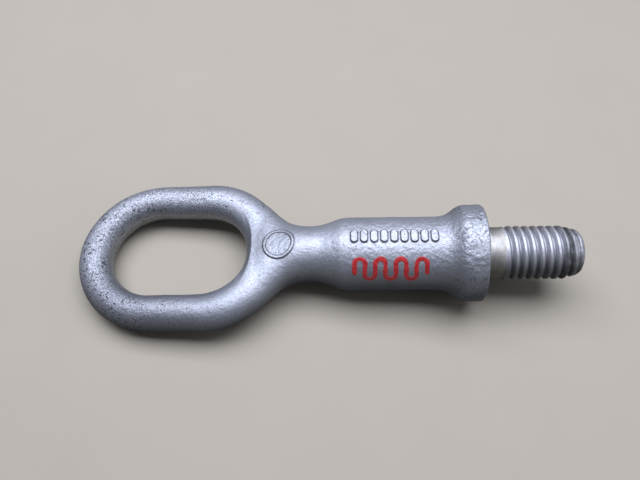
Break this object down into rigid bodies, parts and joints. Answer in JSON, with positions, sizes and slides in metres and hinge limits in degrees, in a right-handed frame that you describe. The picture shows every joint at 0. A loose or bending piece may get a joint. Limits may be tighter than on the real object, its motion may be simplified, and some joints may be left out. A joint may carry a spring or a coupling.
{
  "type": "screw-in towing eye",
  "caption": "Forged screw-in towing eye: a link-shaped eye on a slim neck, a round shank and a wide collar that seats flat behind a coarse screw thread.",
  "frame": {"origin": "centre of the collar's flat seat face, on the bolt's axis", "axes": "+X along the bolt's axis from the seat to the thread's tip, +Z square to the flat of the eye, on the side with the raised marks, +Y completes the right-handed frame and lies in the flat of the eye"},
  "size_m": [0.1921, 0.063, 0.037],
  "materials": {
    "forged_skin": "shot-blasted forging with a silver-grey zinc coating, satin and finely pitted",
    "turned_steel": "turned and coated, smoother and brighter than the forging",
    "rolled_thread": "rolled thread with the same coating, dulled by dirt towards the tip",
    "marking_paint": "red paint-pen film"
  },
  "bodies": {
    "root": {"eye_bow": "forged_skin", "eye_root": "forged_skin", "neck": "forged_skin", "shank": "forged_skin", "collar": "forged_skin", "thread_relief": "turned_steel", "thread": "rolled_thread", "tip": "rolled_thread", "paint_mark": "marking_paint"}
  },
  "joints": []
}
